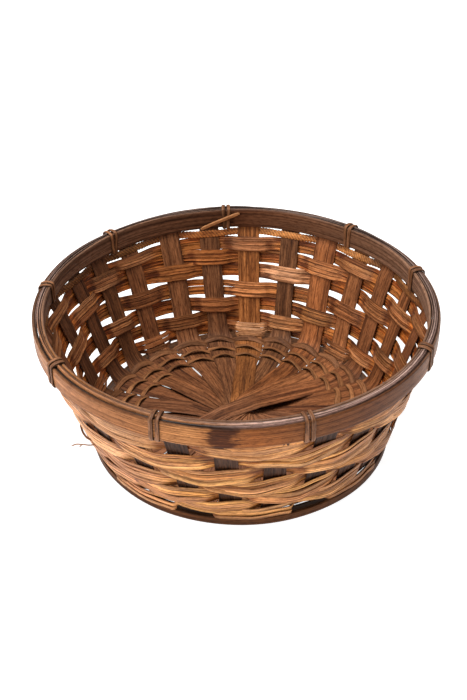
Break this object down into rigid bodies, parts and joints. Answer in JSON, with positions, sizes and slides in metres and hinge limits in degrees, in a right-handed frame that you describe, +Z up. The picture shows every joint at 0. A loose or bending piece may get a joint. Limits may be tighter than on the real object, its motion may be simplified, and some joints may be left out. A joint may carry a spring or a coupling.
{
  "type": "woven fruit basket",
  "caption": "Round open fruit basket of flat bamboo splints woven outside two and inside one, with a lashed split-hoop rim and a foot hoop.",
  "frame": {"origin": "below the centre of the rim, on the surface the basket stands on; the foot hoop's centre is 2.4 mm from it towards +X", "axes": "+Z up along the basket's axis, -Y towards the front, +X to the right seen from the front"},
  "size_m": [0.2507, 0.2509, 0.0982],
  "materials": {
    "splint": "stained brown bamboo, satin, with long grain",
    "weaver": "golden tan bamboo, satin, with fine grain",
    "whipped_strip": "orange-tan whipped strip, satin",
    "floor_strand": "brown bamboo, satin",
    "outer_hoop": "stained and varnished bamboo, satin",
    "inner_hoop": "dark brown bamboo, satin",
    "rim_filler": "grey-brown bamboo, matt",
    "lashing": "brown split cane, satin",
    "foot_hoop": "dark brown bamboo, matt"
  },
  "bodies": {
    "root": {"splint_01": "splint", "splint_02": "splint", "splint_03": "splint", "splint_04": "splint", "splint_05": "splint", "splint_06": "splint", "splint_07": "splint", "splint_08": "splint", "splint_09": "splint", "splint_10": "splint", "splint_11": "splint", "splint_12": "splint", "splint_13": "splint", "weaver_row_1": "weaver", "weaver_row_2": "weaver", "weaver_row_3": "weaver", "weaver_row_4": "weaver", "weaver_row_5": "weaver", "weaver_row_6": "weaver", "weaver_row_7": "weaver", "whipped_strip": "whipped_strip", "floor_strand_inner_a": "floor_strand", "floor_strand_inner_b": "floor_strand", "floor_strand_middle_a": "floor_strand", "floor_strand_middle_b": "floor_strand", "floor_strand_outer_a": "floor_strand", "floor_strand_outer_b": "floor_strand", "inner_hoop": "inner_hoop", "outer_hoop": "outer_hoop", "rim_filler_inner": "rim_filler", "rim_filler_middle": "rim_filler", "rim_filler_outer": "rim_filler", "lashing_1": "lashing", "lashing_2": "lashing", "lashing_3": "lashing", "lashing_4": "lashing", "lashing_5": "lashing", "lashing_6": "lashing", "lashing_7": "lashing", "lashing_8": "lashing", "lashing_9": "lashing", "lashing_tail": "lashing", "foot_hoop": "foot_hoop"}
  },
  "joints": []
}
